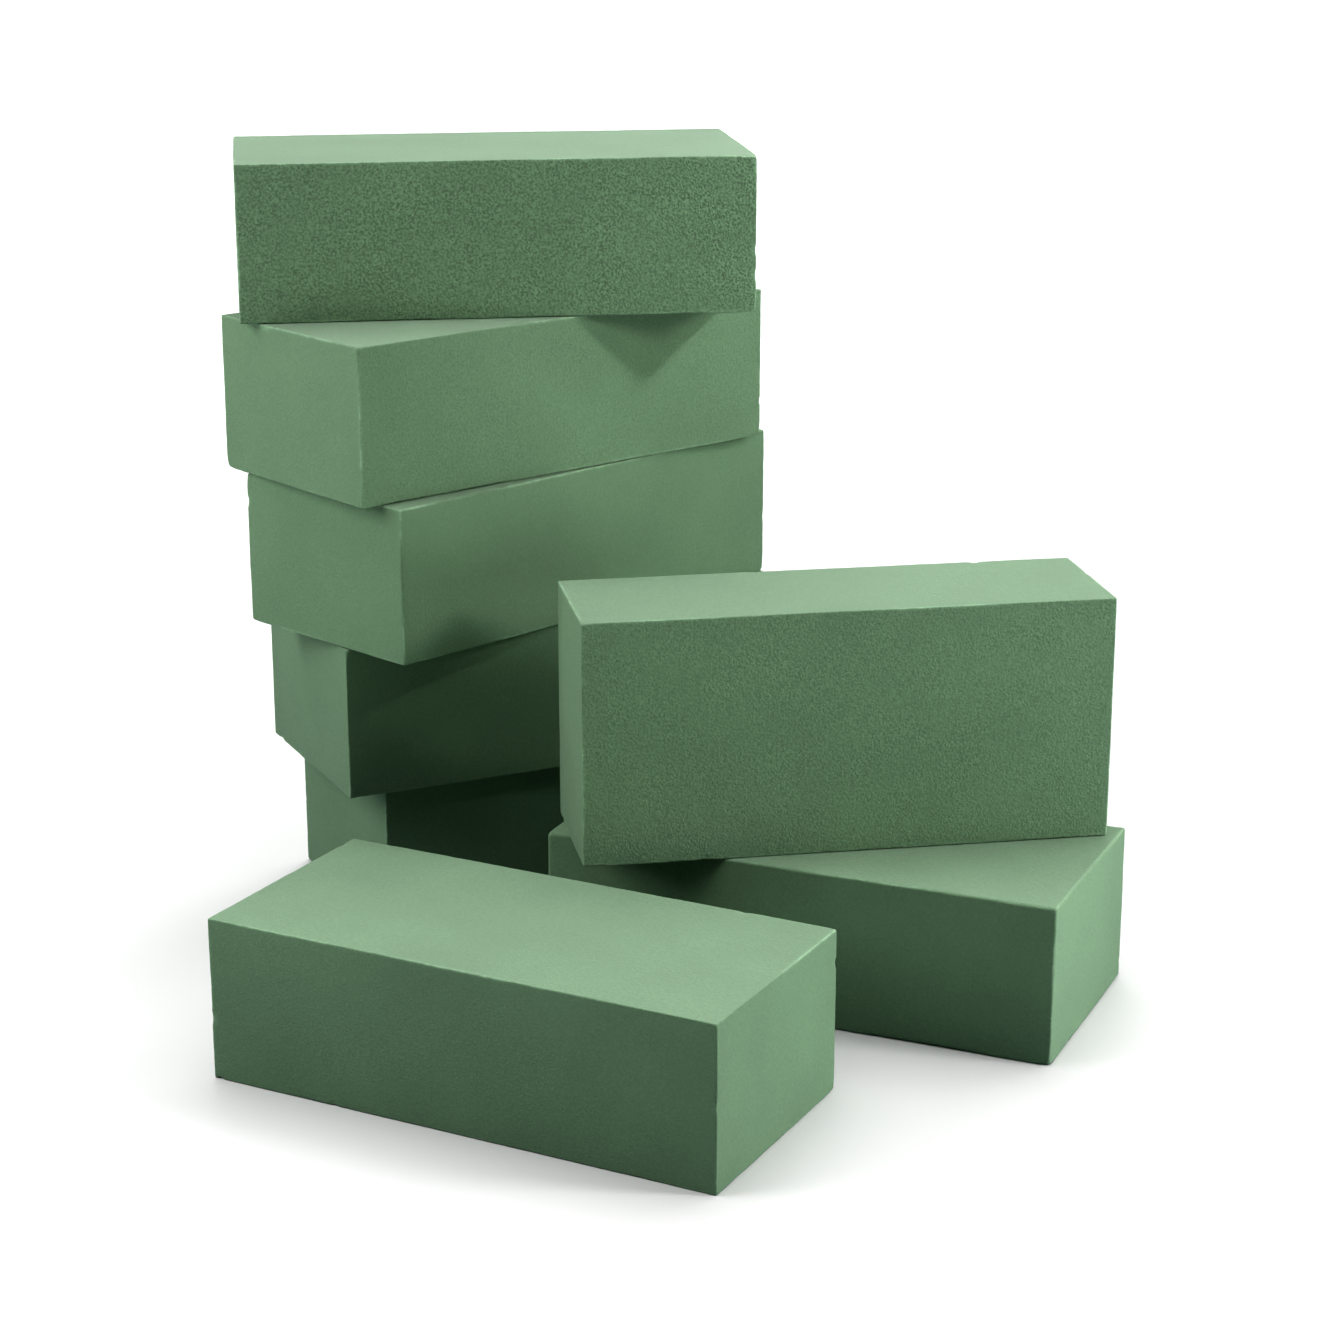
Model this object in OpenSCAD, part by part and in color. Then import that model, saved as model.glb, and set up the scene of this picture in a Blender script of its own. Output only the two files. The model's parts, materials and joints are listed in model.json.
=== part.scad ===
// Set of loose floral foam bricks: a stack of five, each turned on the one
// below it, a pair with one brick on edge across a flat one, and one in front.
// Millimetres, +Z up. The origin is the middle of the set's footprint, on the
// surface that the bricks stand on.

/* [Brick] */
// Length of a brick
brick_length = 230; // [180:1:240]
// Width of a brick
brick_width = 107; // [80:1:120]
// Thickness of a brick
brick_height = 70; // [50:1:85]
// Radius of the softened edges
edge_radius = 1.2; // [0.4:0.1:3]
// Gap left between a brick and the one that it lies on, so that their solids never share space
rest_gap = 0.02; // [0.01:0.01:0.2]

/* [Stack of five: x, y, turn about Z] */
// Bottom brick of the stack
stack_place_1 = [0, 0, 27]; // [-180:0.5:180]
// Second brick of the stack
stack_place_2 = [-11.5, -18.5, 25.5]; // [-180:0.5:180]
// Third brick of the stack
stack_place_3 = [-21.5, -23, 45.5]; // [-180:0.5:180]
// Fourth brick of the stack
stack_place_4 = [-27.5, -26, 40.5]; // [-180:0.5:180]
// Top brick of the stack
stack_place_5 = [-31, -17.5, 8]; // [-180:0.5:180]

/* [Bricks beside the stack: x, y, turn about Z] */
// Flat brick at the right
right_flat_place = [124.5, -156, -23.5]; // [-300:0.5:300]
// Brick on edge, standing across the flat one
right_upright_place = [122, -149.5, 10]; // [-300:0.5:300]
// Brick at the front
front_place = [-8.5, -267, -27.5]; // [-300:0.5:300]

/* [Hidden] */

arc_segments = 32;
foam_green = [0.45, 0.60, 0.45];

// Half of what a turned outline with rounded corners reaches along X or along Y.
function half_reach_x(place, size) =
    abs(cos(place.z)) * (size.x / 2 - edge_radius)
    + abs(sin(place.z)) * (size.y / 2 - edge_radius) + edge_radius;
function half_reach_y(place, size) =
    abs(sin(place.z)) * (size.x / 2 - edge_radius)
    + abs(cos(place.z)) * (size.y / 2 - edge_radius) + edge_radius;

flat_size = [brick_length, brick_width, brick_height];
upright_size = [brick_length, brick_height, brick_width];

// Every brick as its place and its size in the way that it lies.
all_bricks = [
    [stack_place_1, flat_size],
    [stack_place_2, flat_size],
    [stack_place_3, flat_size],
    [stack_place_4, flat_size],
    [stack_place_5, flat_size],
    [right_flat_place, flat_size],
    [right_upright_place, upright_size],
    [front_place, flat_size]
];

low_x = min([for (b = all_bricks) b[0].x - half_reach_x(b[0], b[1])]);
high_x = max([for (b = all_bricks) b[0].x + half_reach_x(b[0], b[1])]);
low_y = min([for (b = all_bricks) b[0].y - half_reach_y(b[0], b[1])]);
high_y = max([for (b = all_bricks) b[0].y + half_reach_y(b[0], b[1])]);
footprint_middle = [(low_x + high_x) / 2, (low_y + high_y) / 2, 0];

// A rectangle with rounded corners, centred.
module rounded_outline(x, y) {
    square([x - 2 * edge_radius, y], center = true);
    square([x, y - 2 * edge_radius], center = true);
    for (sx = [-1, 1], sy = [-1, 1])
        translate([sx * (x / 2 - edge_radius), sy * (y / 2 - edge_radius)])
            circle(r = edge_radius, $fn = arc_segments);
}

// One block of foam with all its edges softened, standing on Z = 0.
module foam_block(size) {
    translate([0, 0, size.z / 2])
        intersection() {
            linear_extrude(height = size.z, center = true)
                rounded_outline(size.x, size.y);
            rotate([90, 0, 0])
                linear_extrude(height = size.y, center = true)
                    rounded_outline(size.x, size.z);
            rotate([90, 0, 90])
                linear_extrude(height = size.x, center = true)
                    rounded_outline(size.y, size.z);
        }
}

// A block of foam at its place in the set, with its underside at the height base_z.
module placed_brick(place, size, base_z) {
    color(foam_green)
        translate([place.x, place.y, base_z] - footprint_middle)
            rotate([0, 0, place.z])
                foam_block(size);
}

// A brick of the stack lies on the ones below it.
module stack_brick(level, place) {
    placed_brick(place, flat_size, (level - 1) * (brick_height + rest_gap));
}

module stack_brick_1() { stack_brick(1, stack_place_1); }
module stack_brick_2() { stack_brick(2, stack_place_2); }
module stack_brick_3() { stack_brick(3, stack_place_3); }
module stack_brick_4() { stack_brick(4, stack_place_4); }
module stack_brick_5() { stack_brick(5, stack_place_5); }
module right_flat_brick() { placed_brick(right_flat_place, flat_size, 0); }
module right_upright_brick() { placed_brick(right_upright_place, upright_size, brick_height + rest_gap); }
module front_brick() { placed_brick(front_place, flat_size, 0); }

stack_brick_1();
stack_brick_2();
stack_brick_3();
stack_brick_4();
stack_brick_5();
right_flat_brick();
right_upright_brick();
front_brick();
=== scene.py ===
import itertools
import json
import math

import bpy
import numpy as np
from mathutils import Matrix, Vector


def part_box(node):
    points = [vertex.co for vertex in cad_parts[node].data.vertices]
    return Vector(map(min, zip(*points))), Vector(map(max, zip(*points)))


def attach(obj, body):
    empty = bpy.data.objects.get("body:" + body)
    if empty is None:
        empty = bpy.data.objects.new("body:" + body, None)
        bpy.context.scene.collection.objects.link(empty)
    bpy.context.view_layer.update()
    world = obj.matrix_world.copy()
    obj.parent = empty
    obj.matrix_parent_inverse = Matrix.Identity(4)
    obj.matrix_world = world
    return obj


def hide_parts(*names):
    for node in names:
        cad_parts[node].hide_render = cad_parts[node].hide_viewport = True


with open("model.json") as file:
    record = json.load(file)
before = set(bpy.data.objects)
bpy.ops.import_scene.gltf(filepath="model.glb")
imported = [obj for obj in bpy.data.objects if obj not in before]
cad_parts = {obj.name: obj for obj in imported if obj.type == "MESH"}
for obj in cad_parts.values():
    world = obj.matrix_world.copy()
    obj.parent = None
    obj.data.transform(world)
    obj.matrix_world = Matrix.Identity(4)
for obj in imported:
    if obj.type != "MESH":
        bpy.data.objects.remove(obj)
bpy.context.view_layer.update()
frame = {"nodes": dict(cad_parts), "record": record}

MM = 0.001

# Camera. Its place is measured from the middle of the bottom brick of the stack.
CAMERA_LENS = 80.0
CAMERA_SENSOR = 36.0
CAMERA_RIGHT = 0.050
CAMERA_BACK = 1.375
CAMERA_HEIGHT = 0.510
CAMERA_PITCH = 16.7

# Mesh of a brick: narrow steps where an edge rounds over, wider ones on the flats.
RIM_STEP = 0.25 * MM
RIM_GROWTH = 1.25
RIM_ROWS = 8
FLAT_STEP = 1.4 * MM

# Shape of a brick's worn surface. Every depth goes into the brick, never out of it.
# A length is the size of the noise that varies the thing.
EDGE_RADIUS = 0.45 * MM
EDGE_RADIUS_CHANGE = 0.35 * MM
EDGE_RADIUS_LENGTHS = (9 * MM, 31 * MM)
CORNER_RADIUS_GROWTH = 2.0 * MM
CORNER_RADIUS_LENGTH = 60 * MM
CORNER_REACH = 4 * MM
WAVE_DEPTH = 0.16 * MM
WAVE_LENGTH = 34 * MM
GRAIN_DEPTH = 0.08 * MM
GRAIN_LENGTH = 2.8 * MM
CRUMBLE_DEPTH = 0.14 * MM
CRUMBLE_LENGTH = 4 * MM
CRUMBLE_REACH = 3 * MM
NICK_COUNT = 12
NICK_REACH = (1.2 * MM, 4.0 * MM)
NICK_DEPTH = (0.15 * MM, 0.6 * MM)
EDGE_WEAR_REACH = 0.8 * MM
RUBBED_LENGTH = 38 * MM

# How much rounder the edges of a brick are than usual.
EDGE_SOFTNESS = {"right_flat_brick": 2.2, "stack_brick_3": 1.5, "stack_brick_1": 1.3}

# How strong the grain of a brick's long sides is. Other faces have the plain grain.
PLAIN_GRAIN = 0.30
SIDE_GRAIN = {"stack_brick_5": 1.4, "right_upright_brick": 0.8, "stack_brick_4": 0.5}

# Sizes of the foam's surface patterns, and how deep two of them look.
PATCH_SIZE = 45 * MM
GRAIN_PATCH_SIZE = 16 * MM
PEBBLE_SIZE = 1.05 * MM
PEBBLE_RELIEF = 0.45 * MM
CELL_SIZE = 0.6 * MM
CELL_RELIEF = 0.08 * MM
DUST_SIZE = 0.5 * MM

# Foam colours, as linear light: two tones of the block, its rubbed edges, and the pale colour of its top
# faces, which is settled dust and partly a painted sheen.
FOAM_DEEP = (0.137, 0.218, 0.134, 1)
FOAM_MAIN = (0.164, 0.257, 0.158, 1)
FOAM_DUSTY = (0.34, 0.50, 0.34, 1)
FOAM_TOP_DUST_AND_SHEEN = (0.36, 0.46, 0.38, 1)

# The floor looks white, but throws little light back at the bricks. Further out it fades to a lit white.
FLOOR_HALF_SIDE = 12.0
FLOOR_SEEN = (0.66, 0.66, 0.66, 1)
FLOOR_BOUNCE = (0.27, 0.31, 0.34, 1)
FLOOR_FAR = (0.90, 0.90, 0.90, 1)
FLOOR_FADE = (0.4, 1.8)
FLOOR_FAR_GLOW = 0.45


def add_camera():
    """The camera, in front of the stack and looking slightly down."""
    low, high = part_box("stack_brick_1")
    middle = (low + high) / 2
    data = bpy.data.cameras.new("camera")
    data.lens = CAMERA_LENS
    data.sensor_width = CAMERA_SENSOR
    camera = bpy.data.objects.new("camera", data)
    camera.location = (middle.x + CAMERA_RIGHT, middle.y - CAMERA_BACK, CAMERA_HEIGHT)
    camera.rotation_euler = (math.radians(90 - CAMERA_PITCH), 0, 0)
    bpy.context.scene.collection.objects.link(camera)
    bpy.context.scene.camera = camera


def value_noise(points, cell, seed):
    """Smooth noise from 0 to 1, with one random value every cell metres."""
    place = (points - points.min(axis=0)) / cell
    base = np.floor(place).astype(int)
    blend = place - base
    blend = blend * blend * (3 - 2 * blend)
    values = np.random.default_rng(seed).random(base.max(axis=0) + 2)
    total = np.zeros(len(points))
    for corner in itertools.product((0, 1), repeat=3):
        weight = np.prod(np.where(corner, blend, 1 - blend), axis=1)
        total += weight * values[tuple((base + corner).T)]
    return total


def brick_pose(node):
    """Middle, turn about Z and size of a brick, measured on its CAD solid."""
    mesh = frame["nodes"][node].data
    facing_front = [p for p in mesh.polygons if p.normal.y < -0.5 and abs(p.normal.z) < 0.1]
    long_side = max(facing_front, key=lambda p: p.area)
    turn = math.atan2(long_side.normal.x, -long_side.normal.y)
    low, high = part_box(node)
    middle = np.array((low + high) / 2)
    points = np.array([v.co for v in mesh.vertices]) - middle
    size = 2 * np.abs(points @ turn_matrix(turn)).max(axis=0)
    return middle, turn, size


def turn_matrix(turn):
    """Points in rows, times this, are turned back by the angle. Its transpose turns them forward."""
    c, s = math.cos(turn), math.sin(turn)
    return np.array([[c, -s, 0], [s, c, 0], [0, 0, 1]])


def grid_lines(length):
    """Where the mesh is cut along one direction of a brick, from end to end."""
    rim = np.cumsum([0] + [RIM_STEP * RIM_GROWTH ** row for row in range(RIM_ROWS)])
    flats = round((length - 2 * rim[-1]) / FLAT_STEP)
    between = np.linspace(rim[-1], length - rim[-1], flats + 1)[1:-1]
    return np.concatenate([rim, between, length - rim[::-1]]) - length / 2


def box_surface(size):
    """Points and quads of a sharp box, cut along its grid lines."""
    lines = [grid_lines(length) for length in size]
    quads = []
    for axis in range(3):
        u, v = (axis + 1) % 3, (axis + 2) % 3
        first_u, first_v = np.meshgrid(range(len(lines[u]) - 1), range(len(lines[v]) - 1))
        for end in (0, len(lines[axis]) - 1):
            steps = [(0, 0), (1, 0), (1, 1), (0, 1)]
            if end == 0:
                steps.reverse()
            quad = np.full((first_u.size, 4, 3), end)
            for corner, (step_u, step_v) in enumerate(steps):
                quad[:, corner, u] = first_u.ravel() + step_u
                quad[:, corner, v] = first_v.ravel() + step_v
            quads.append(quad)
    corners = np.concatenate(quads).reshape(-1, 3)
    places, index = np.unique(corners, axis=0, return_inverse=True)
    points = np.stack([lines[axis][places[:, axis]] for axis in range(3)], axis=1)
    return points, index.reshape(-1, 4)


def edge_radius(points, to_corner, softness, seed):
    """Radius of the rounded edge nearest to each point.

    It changes along the edge, and a few corners are rounder.
    """
    short_length, long_length = EDGE_RADIUS_LENGTHS
    change = value_noise(points, short_length, seed) * value_noise(points, long_length, seed + 1) * 2
    corner = np.exp(-((to_corner / CORNER_REACH) ** 2))
    corner *= value_noise(points, CORNER_RADIUS_LENGTH, seed + 2) ** 3
    return softness * (EDGE_RADIUS + EDGE_RADIUS_CHANGE * change) + CORNER_RADIUS_GROWTH * corner


def nick_depth(points, half, seed):
    """Depth of the small chips that are missing along the edges."""
    random = np.random.default_rng(seed)
    depth = np.zeros(len(points))
    for nick in range(NICK_COUNT):
        place = random.choice((-1, 1), 3) * half
        along = random.integers(3)
        place[along] = random.uniform(-half[along], half[along])
        reach = random.uniform(*NICK_REACH)
        deepest = random.uniform(*NICK_DEPTH)
        distance = np.linalg.norm(points - place, axis=1) / reach
        depth = np.maximum(depth, deepest * np.clip(1 - distance ** 2, 0, 1) ** 2)
    return depth


def worn_block(size, grain, softness, seed):
    """Points, quads, edge wear and grain of a foam block around the origin, with worn edges."""
    sharp, quads = box_surface(size)
    half = size / 2
    inside = np.sort(half - np.abs(sharp), axis=1)
    to_edge, to_corner = inside[:, 1], inside[:, 2]
    radius = edge_radius(sharp, to_corner, softness, seed)[:, None]
    core = np.clip(sharp, radius - half, half - radius)
    outward = sharp - core
    outward /= np.linalg.norm(outward, axis=1)[:, None]

    side_share = outward[:, 1] ** 2
    grain_share = PLAIN_GRAIN + (grain - PLAIN_GRAIN) * side_share
    near_edge = np.exp(-((to_edge / CRUMBLE_REACH) ** 2))
    crumble = value_noise(sharp, CRUMBLE_LENGTH, seed + 3)
    crumble = crumble * value_noise(sharp, CRUMBLE_LENGTH / 2, seed + 4)
    depth = WAVE_DEPTH * value_noise(sharp, WAVE_LENGTH, seed + 5)
    depth += GRAIN_DEPTH * grain_share * value_noise(sharp, GRAIN_LENGTH, seed + 6)
    depth += CRUMBLE_DEPTH * near_edge * crumble
    nicks = nick_depth(sharp, half, seed + 7)
    points = core + outward * (radius - (depth + nicks)[:, None])

    # Only some stretches of an edge are rubbed pale, and chips are pale too.
    rubbed = np.clip(2.4 * value_noise(sharp, RUBBED_LENGTH, seed + 8) - 0.7, 0, 1)
    wear = np.exp(-((to_edge / EDGE_WEAR_REACH) ** 2)) * rubbed * (0.3 + 1.2 * crumble)
    wear = np.clip(wear + 0.4 * nicks / NICK_DEPTH[1], 0, 1)
    return points, quads, wear, grain_share


def set_attribute(mesh, name, values):
    """Stores one number for each point of the mesh, for the material to read."""
    mesh.attributes.new(name, "FLOAT", "POINT").data.foreach_set("value", values.astype(np.float32))


def add_brick(node, body, seed, material):
    """The foam brick that stands for one CAD brick."""
    middle, turn, size = brick_pose(node)
    side_grain = SIDE_GRAIN.get(node, PLAIN_GRAIN)
    points, quads, wear, grain = worn_block(size, side_grain, EDGE_SOFTNESS.get(node, 1.0), seed)
    points = points @ turn_matrix(turn).T + middle
    mesh = bpy.data.meshes.new(node + "_foam")
    mesh.from_pydata(points.tolist(), [], quads.tolist())
    mesh.shade_smooth()
    set_attribute(mesh, "edge_wear", wear)
    set_attribute(mesh, "grain", grain)
    set_attribute(mesh, "tone", np.full(len(points), np.random.default_rng(seed).random()))
    mesh.materials.append(material)
    brick = bpy.data.objects.new(node + "_foam", mesh)
    bpy.context.scene.collection.objects.link(brick)
    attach(brick, body)
    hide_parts(node)


class Nodes:
    """Short calls for building a material's node tree."""

    def __init__(self, material):
        material.use_nodes = True
        self.tree = material.node_tree
        self.shader = self.tree.nodes["Principled BSDF"]

    def new(self, kind, **settings):
        node = self.tree.nodes.new(kind)
        for name, value in settings.items():
            setattr(node, name, value)
        return node

    def feed(self, socket, value):
        if isinstance(value, bpy.types.NodeSocket):
            self.tree.links.new(value, socket)
        else:
            socket.default_value = value

    def attribute(self, name):
        return self.new("ShaderNodeAttribute", attribute_name=name).outputs["Fac"]

    def noise(self, place, size, detail):
        """Noise from about 0 to 1 whose features are size metres across."""
        node = self.new("ShaderNodeTexNoise")
        self.feed(node.inputs["Vector"], place)
        self.feed(node.inputs["Scale"], 1 / size)
        self.feed(node.inputs["Detail"], detail)
        return node.outputs["Fac"]

    def cells(self, place, size):
        """Distance from the middle of the nearest cell, for cells that are size metres across."""
        node = self.new("ShaderNodeTexVoronoi", feature="F1")
        self.feed(node.inputs["Vector"], place)
        self.feed(node.inputs["Scale"], 1 / size)
        return node.outputs["Distance"]

    def math(self, operation, first, second):
        node = self.new("ShaderNodeMath", operation=operation)
        self.feed(node.inputs[0], first)
        self.feed(node.inputs[1], second)
        return node.outputs[0]

    def spread(self, value, low, high, to_low, to_high):
        """Maps low..high to to_low..to_high, and stays inside them."""
        node = self.new("ShaderNodeMapRange")
        for socket, number in zip(node.inputs[:5], (value, low, high, to_low, to_high)):
            self.feed(socket, number)
        return node.outputs[0]

    def mix(self, share, first, second, blend_type="MIX"):
        node = self.new("ShaderNodeMix", data_type="RGBA", blend_type=blend_type)
        self.feed(node.inputs[0], share)
        self.feed(node.inputs[6], first)
        self.feed(node.inputs[7], second)
        return node.outputs[2]

    def bump(self, height, distance, strength, normal=None):
        node = self.new("ShaderNodeBump")
        self.feed(node.inputs["Height"], height)
        self.feed(node.inputs["Distance"], distance)
        self.feed(node.inputs["Strength"], strength)
        if normal is not None:
            self.feed(node.inputs["Normal"], normal)
        return node.outputs["Normal"]


def foam_material():
    """Rigid open-cell foam: matte and slightly dusty, with fine cells and a pebbly grain on some sides.
    Its colour also holds a painted sheen on the tops, painted shade in the cell pits and between the
    pebbles, and painted highlights on the pebbles.
    """
    material = bpy.data.materials.new("floral_foam")
    nodes = Nodes(material)
    place = nodes.new("ShaderNodeTexCoord").outputs["Object"]
    grain = nodes.attribute("grain")
    wear = nodes.attribute("edge_wear")
    tone = nodes.attribute("tone")

    patches = nodes.noise(place, PATCH_SIZE, detail=3)
    grain_patches = nodes.noise(place, GRAIN_PATCH_SIZE, detail=2)
    grain = nodes.math("MULTIPLY", grain, nodes.spread(grain_patches, 0.36, 0.62, 0.65, 1.0))
    pebbles = nodes.noise(place, PEBBLE_SIZE, detail=1)
    fine_cells = nodes.cells(place, CELL_SIZE)
    dust = nodes.noise(place, DUST_SIZE, detail=2)

    colour = nodes.mix(nodes.spread(patches, 0.3, 0.7, 0.35, 1.0), FOAM_DEEP, FOAM_MAIN)
    # Multiplier for the colour: the brick's random tone and dust specks, plus painted shade and highlight
    # from the cell and pebble relief.
    tone_and_painted_shade = nodes.spread(tone, 0, 1, 0.96, 1.04)
    # The pebbles are painted into the colour as well as bumped: lighter on the raised pebbles and darker
    # between them, a painted highlight and painted shade of their relief.
    pebble_painted_highlight_and_shade = nodes.spread(pebbles, 0.3, 0.7, -0.22, 0.22)
    tone_and_painted_shade = nodes.math("ADD", tone_and_painted_shade, nodes.math("MULTIPLY", pebble_painted_highlight_and_shade, grain))
    # Painted shade in the cell pits: the colour is darker at the middle of each cell, where the cell
    # relief is lowest.
    tone_and_painted_shade = nodes.math("ADD", tone_and_painted_shade, nodes.spread(fine_cells, 0, 0.8, -0.06, 0.05))
    tone_and_painted_shade = nodes.math("ADD", tone_and_painted_shade, nodes.spread(dust, 0.3, 0.7, -0.03, 0.03))
    tone_and_painted_shade_colour = nodes.new("ShaderNodeCombineColor")
    for socket in tone_and_painted_shade_colour.inputs:
        nodes.feed(socket, tone_and_painted_shade)
    colour = nodes.mix(1.0, colour, tone_and_painted_shade_colour.outputs[0], "MULTIPLY")

    # Up-facing faces are lightened: partly dust settled on them, partly a painted sheen where light falls
    # on the tops.
    facing = nodes.new("ShaderNodeSeparateXYZ")
    nodes.feed(facing.inputs[0], nodes.new("ShaderNodeTexCoord").outputs["Normal"])
    top_dust_and_sheen = nodes.spread(facing.outputs["Z"], 0.6, 1.0, 0.0, 0.20)
    top_dust_and_sheen = nodes.math("MULTIPLY", top_dust_and_sheen, nodes.spread(dust, 0.2, 0.8, 0.5, 1.0))
    colour = nodes.mix(top_dust_and_sheen, colour, FOAM_TOP_DUST_AND_SHEEN)
    worn_share = nodes.math("MULTIPLY", wear, nodes.spread(dust, 0.3, 0.7, 0.6, 1.0))
    colour = nodes.mix(worn_share, colour, FOAM_DUSTY)

    cell_normal = nodes.bump(fine_cells, CELL_RELIEF, 0.5)
    pebble_height = nodes.math("MULTIPLY", pebbles, grain)
    normal = nodes.bump(pebble_height, PEBBLE_RELIEF, 1.0, cell_normal)

    shader = nodes.shader
    nodes.feed(shader.inputs["Base Color"], colour)
    nodes.feed(shader.inputs["Roughness"], nodes.spread(patches, 0.3, 0.7, 0.86, 0.96))
    nodes.feed(shader.inputs["Normal"], normal)
    nodes.feed(shader.inputs["Specular IOR Level"], 0.25)
    nodes.feed(shader.inputs["Sheen Weight"], 0.12)
    nodes.feed(shader.inputs["Sheen Roughness"], 0.5)
    return material


def add_floor():
    """A plain pale floor under the bricks."""
    side = FLOOR_HALF_SIDE
    mesh = bpy.data.meshes.new("floor")
    corners = [(-side, -side, 0), (side, -side, 0), (side, side, 0), (-side, side, 0)]
    mesh.from_pydata(corners, [], [(0, 1, 2, 3)])
    material = bpy.data.materials.new("floor")
    nodes = Nodes(material)
    place = nodes.new("ShaderNodeTexCoord").outputs["Object"]
    distance = nodes.new("ShaderNodeVectorMath", operation="LENGTH")
    nodes.feed(distance.inputs[0], place)
    far = nodes.spread(distance.outputs["Value"], *FLOOR_FADE, 0, 1)
    sight = nodes.new("ShaderNodeLightPath").outputs["Is Camera Ray"]
    near_colour = nodes.mix(sight, FLOOR_BOUNCE, FLOOR_SEEN)
    nodes.feed(nodes.shader.inputs["Base Color"], nodes.mix(far, near_colour, FLOOR_FAR))
    nodes.feed(nodes.shader.inputs["Emission Color"], (1, 1, 1, 1))
    nodes.feed(nodes.shader.inputs["Emission Strength"], nodes.math("MULTIPLY", far, FLOOR_FAR_GLOW))
    nodes.feed(nodes.shader.inputs["Roughness"], 0.9)
    nodes.feed(nodes.shader.inputs["Specular IOR Level"], 0.1)
    mesh.materials.append(material)
    floor = bpy.data.objects.new("floor", mesh)
    bpy.context.scene.collection.objects.link(floor)


def add_light(kind, name, place, target, **settings):
    """A light at place that shines at target."""
    data = bpy.data.lights.new(name, kind)
    for setting, value in settings.items():
        setattr(data, setting, value)
    light = bpy.data.objects.new(name, data)
    light.location = place
    light.visible_camera = False
    light.rotation_euler = (Vector(target) - Vector(place)).to_track_quat("-Z", "Y").to_euler()
    bpy.context.scene.collection.objects.link(light)


def add_softbox(name, place, target, width, height, power, spread=180):
    """A rectangular lamp. A narrow spread, in degrees, keeps its light near its target."""
    add_light("AREA", name, place, target, shape="RECTANGLE", size=width, size_y=height,
              energy=power, spread=math.radians(spread))


def add_lights():
    """Broad light from above, softboxes at both sides and nothing from the front."""
    aim = (0, 0, 0.17)
    add_light("SUN", "overhead", (0, 0, 3), (0, 0, 0), energy=1.2, angle=math.radians(60))
    add_light("SUN", "overhead_rear", (0, 1.6, 3), (0, 0, 0), energy=0.9, angle=math.radians(50))
    add_softbox("top_rear", (0, 0.8, 1.1), aim, 0.8, 0.8, 4)
    add_softbox("right_key", (0.85, -0.33, 0.59), aim, 0.18, 0.18, 3.4)
    add_softbox("right_high", (1.02, -0.19, 1.0), (0.06, 0.11, 0.29), 0.15, 0.15, 0.06, spread=16)
    add_softbox("right_rear", (0.8, 0.3, 1.05), aim, 0.3, 0.3, 1.5)
    add_softbox("right_low", (0.85, -0.2, 0.10), (0.1, -0.15, 0.05), 0.3, 0.2, 0.33, spread=50)
    add_softbox("left_fill", (-0.95, -0.28, 0.70), aim, 0.7, 0.7, 7.2)


def add_world():
    """White where the camera sees past the floor. It lights nothing."""
    world = bpy.data.worlds.new("studio")
    bpy.context.scene.world = world
    world.use_nodes = True
    tree = world.node_tree
    background = tree.nodes["Background"]
    background.inputs["Color"].default_value = (1, 1, 1, 1)
    sight = tree.nodes.new("ShaderNodeLightPath").outputs["Is Camera Ray"]
    tree.links.new(sight, background.inputs["Strength"])


add_camera()
foam = foam_material()
for seed, (body, members) in enumerate(sorted(frame["record"]["behaviour"]["bodies"].items())):
    for member in members:
        add_brick(member, body, 100 * seed, foam)
add_floor()
add_lights()
add_world()
bpy.context.scene.view_settings.view_transform = "Standard"
bpy.context.scene.view_settings.look = "High Contrast"
